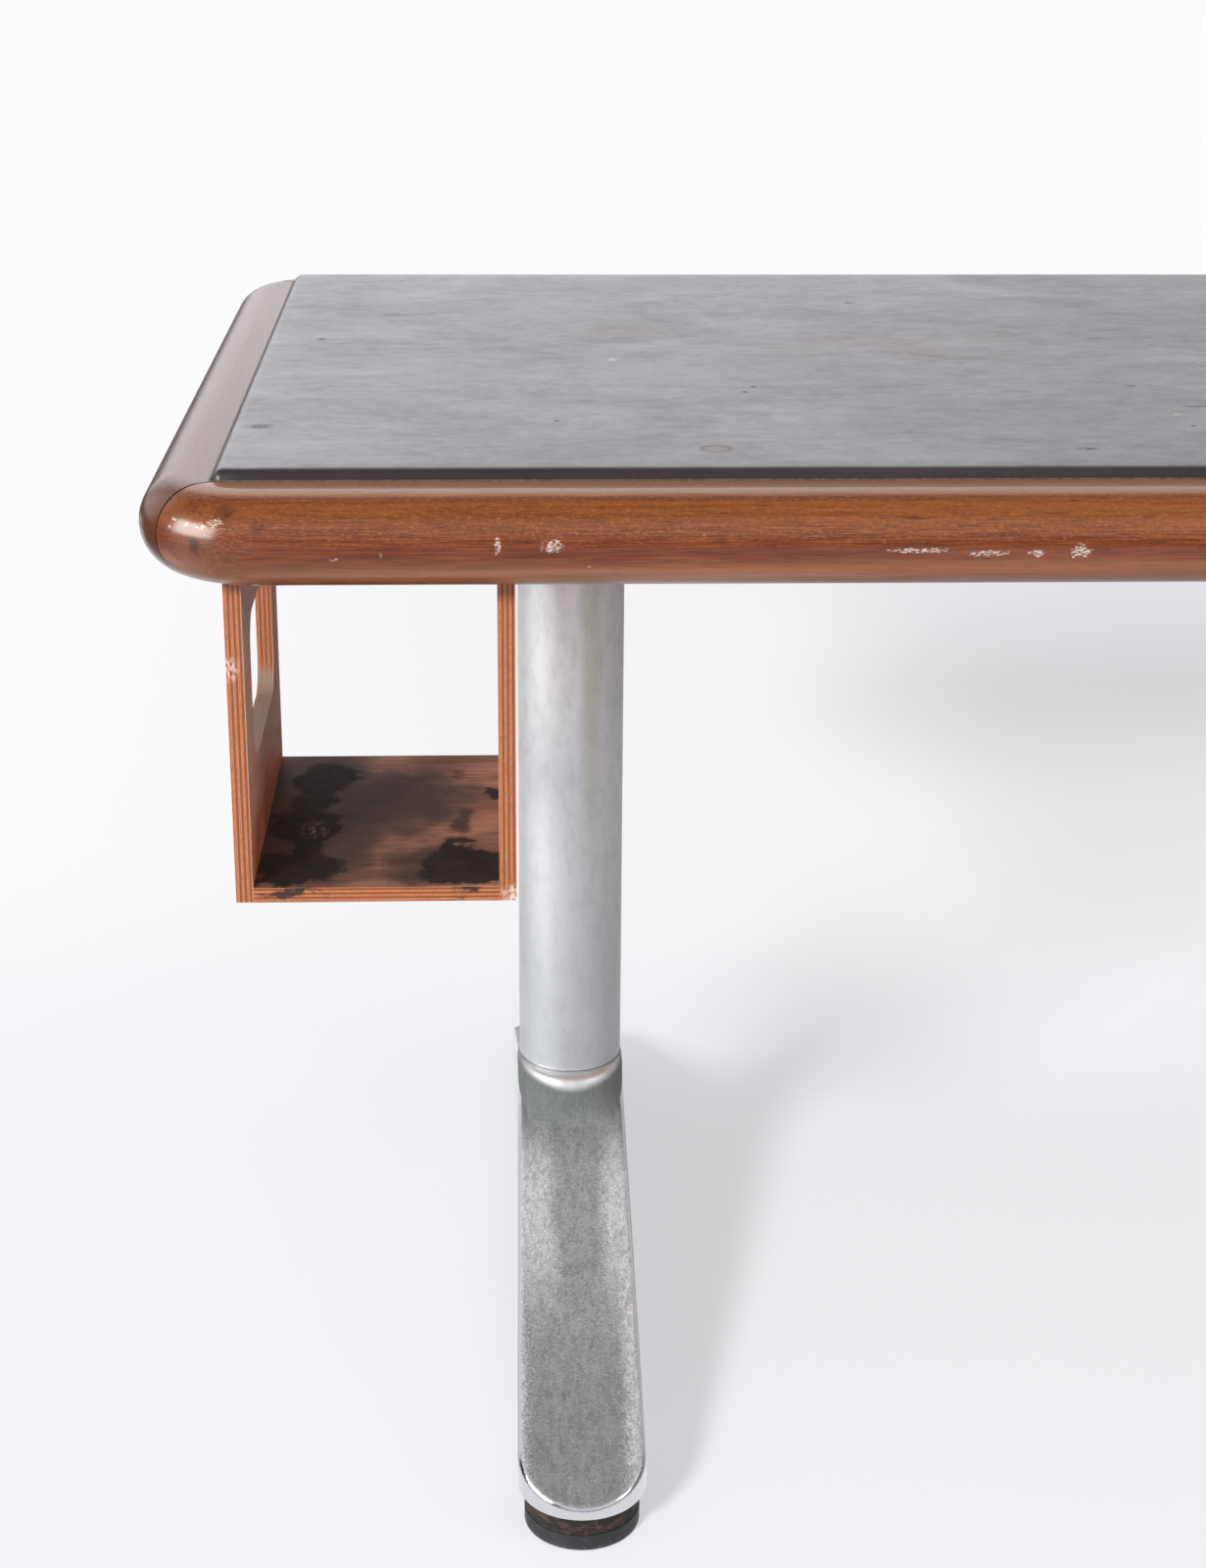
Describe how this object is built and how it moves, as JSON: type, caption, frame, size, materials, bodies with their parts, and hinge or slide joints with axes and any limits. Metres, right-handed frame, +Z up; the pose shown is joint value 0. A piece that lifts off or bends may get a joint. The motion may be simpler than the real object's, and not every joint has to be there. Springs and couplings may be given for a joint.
{
  "type": "office desk",
  "caption": "Office desk with an inset leather top in bull-nosed hardwood rails, round metal columns on cast T feet with levelling glides, and an open plywood carrier box under one end.",
  "frame": {"origin": "on the floor under the middle of the desk", "axes": "+X to the right of a person who sits at the front, +Y towards the back, +Z up; the front faces -Y"},
  "size_m": [1.8, 0.8, 0.755],
  "materials": {
    "hardwood": "satin varnish, worn at the edge",
    "birch": "raw",
    "plywood": "dull, stained",
    "leather": "smooth, semi-gloss",
    "felt": "pressed felt",
    "satin_steel": "satin plated",
    "cast_metal": "polished edges, dull pitted top",
    "black_steel": "black enamel",
    "zinc_steel": "zinc plated",
    "rusty_steel": "dull, rust-stained",
    "rubber": "matte"
  },
  "bodies": {
    "desk": {"front_rail": "hardwood", "rear_rail": "hardwood", "left_rail": "hardwood", "right_rail": "hardwood", "mitre_splines": "birch", "core_board": "birch", "writing_board": "birch", "felt_underlay": "felt", "leather_cover": "leather", "board_screws": "zinc_steel", "left_top_plate": "black_steel", "left_plate_screws": "zinc_steel", "left_column": "satin_steel", "left_foot": "cast_metal", "left_tie_rod": "zinc_steel", "left_tie_washer": "zinc_steel", "left_tie_nut": "zinc_steel", "right_top_plate": "black_steel", "right_plate_screws": "zinc_steel", "right_column": "satin_steel", "right_foot": "cast_metal", "right_tie_rod": "zinc_steel", "right_tie_washer": "zinc_steel", "right_tie_nut": "zinc_steel", "box_left_panel": "plywood", "box_right_panel": "plywood", "box_bottom_board": "plywood", "box_left_cleat": "birch", "box_right_cleat": "birch", "box_bottom_screws": "zinc_steel", "box_cleat_screws": "zinc_steel", "box_hanging_screws": "zinc_steel"},
    "front_left_glide": {"front_left_glide_pad": "rubber", "front_left_glide_cup": "rusty_steel", "front_left_glide_stem": "zinc_steel"},
    "front_right_glide": {"front_right_glide_pad": "rubber", "front_right_glide_cup": "rusty_steel", "front_right_glide_stem": "zinc_steel"},
    "rear_left_glide": {"rear_left_glide_pad": "rubber", "rear_left_glide_cup": "rusty_steel", "rear_left_glide_stem": "zinc_steel"},
    "rear_right_glide": {"rear_right_glide_pad": "rubber", "rear_right_glide_cup": "rusty_steel", "rear_right_glide_stem": "zinc_steel"}
  },
  "joints": [
    {"name": "front_left_level", "type": "slide", "parent": "desk", "child": "front_left_glide", "axis": [0, 0, -1], "range_m": [0, 0.012]},
    {"name": "front_right_level", "type": "slide", "parent": "desk", "child": "front_right_glide", "axis": [0, 0, -1], "range_m": [0, 0.012]},
    {"name": "rear_left_level", "type": "slide", "parent": "desk", "child": "rear_left_glide", "axis": [0, 0, -1], "range_m": [0, 0.012]},
    {"name": "rear_right_level", "type": "slide", "parent": "desk", "child": "rear_right_glide", "axis": [0, 0, -1], "range_m": [0, 0.012]}
  ]
}
